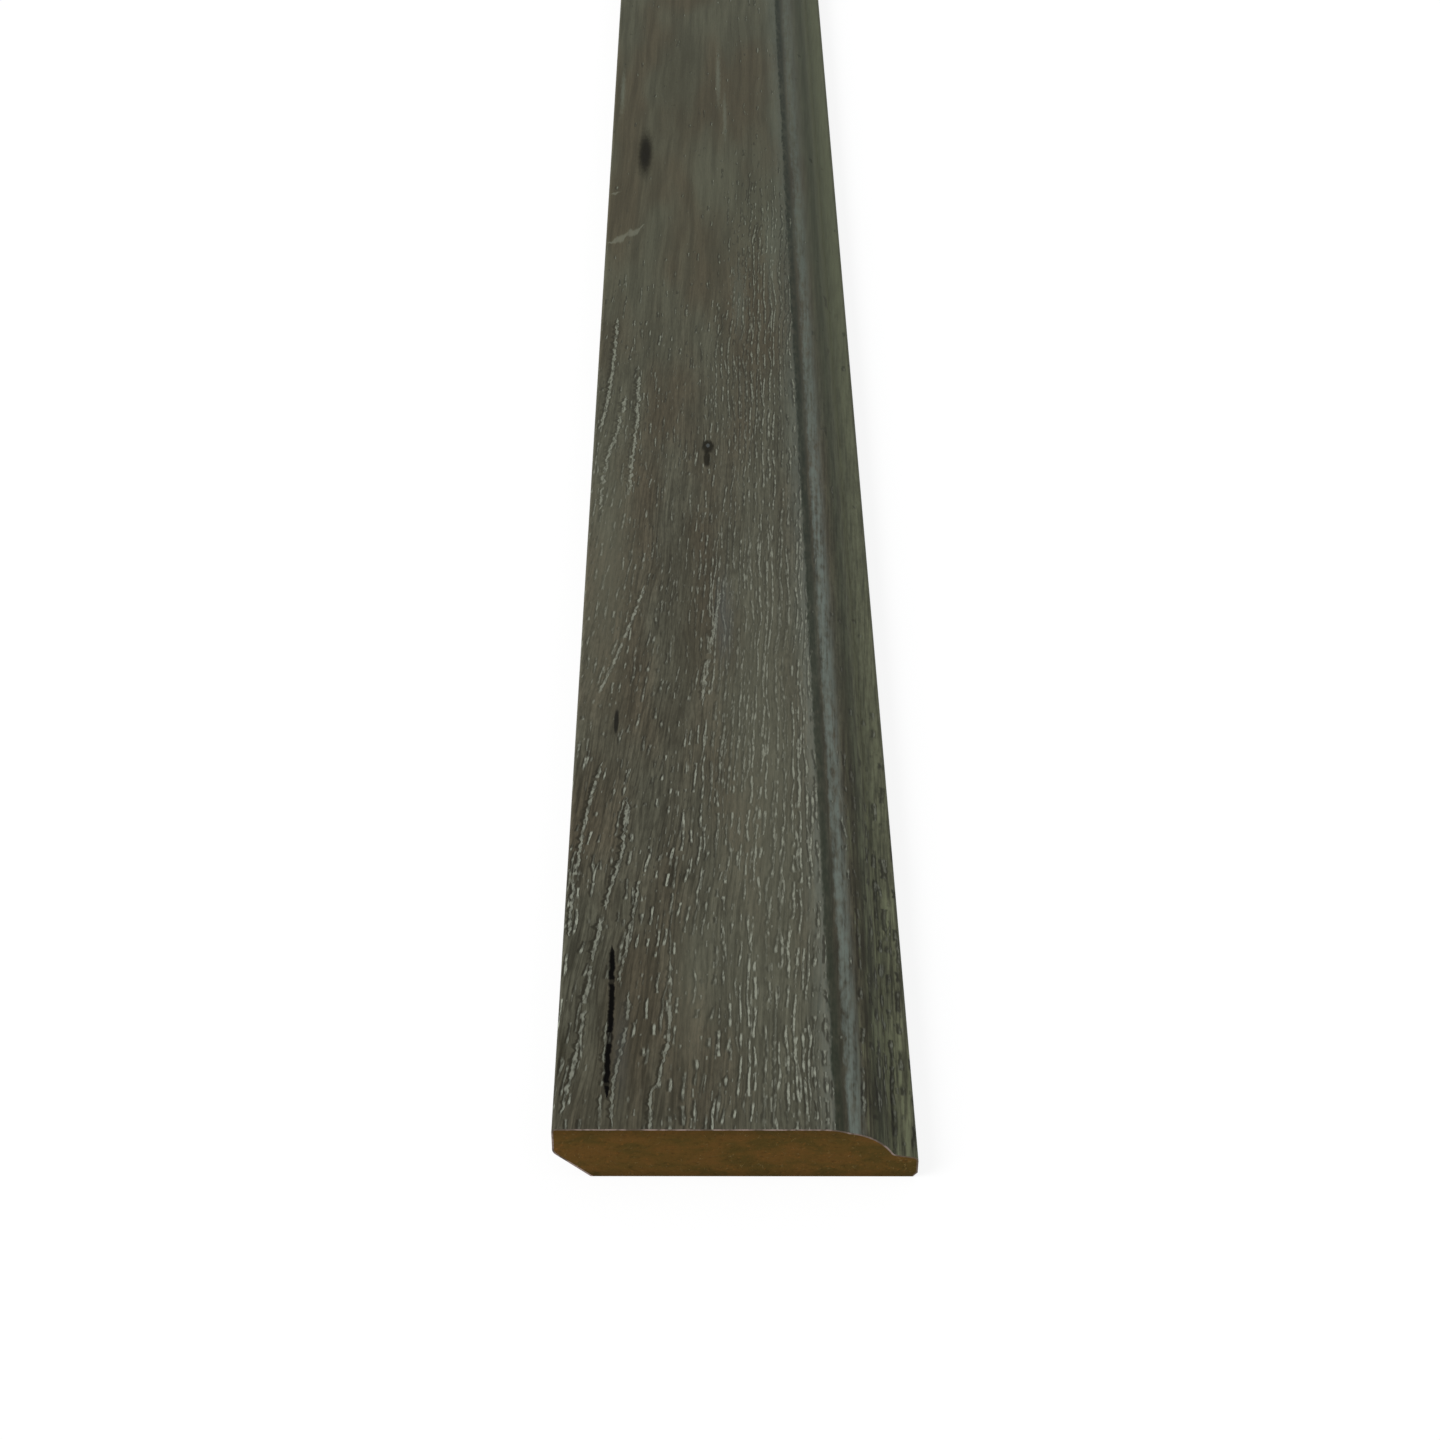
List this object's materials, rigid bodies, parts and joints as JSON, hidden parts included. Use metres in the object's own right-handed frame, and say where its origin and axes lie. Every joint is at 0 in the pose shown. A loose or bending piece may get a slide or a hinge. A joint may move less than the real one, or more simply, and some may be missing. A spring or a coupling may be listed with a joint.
{
  "type": "skirting board",
  "caption": "Foil-wrapped MDF skirting board in dark grey oak, with a moulded top edge and a chamfer behind its floor edge, cut square at both ends.",
  "frame": {"origin": "middle of the flat back, half way along the board", "axes": "+Y along the length, +X from the floor edge to the moulded top edge, +Z from the back to the face"},
  "size_m": [0.08, 2.4, 0.015],
  "materials": {
    "mdf": "matte",
    "foil": "matte"
  },
  "bodies": {
    "root": {"mdf_core": "mdf", "decor_foil": "foil"}
  },
  "joints": []
}
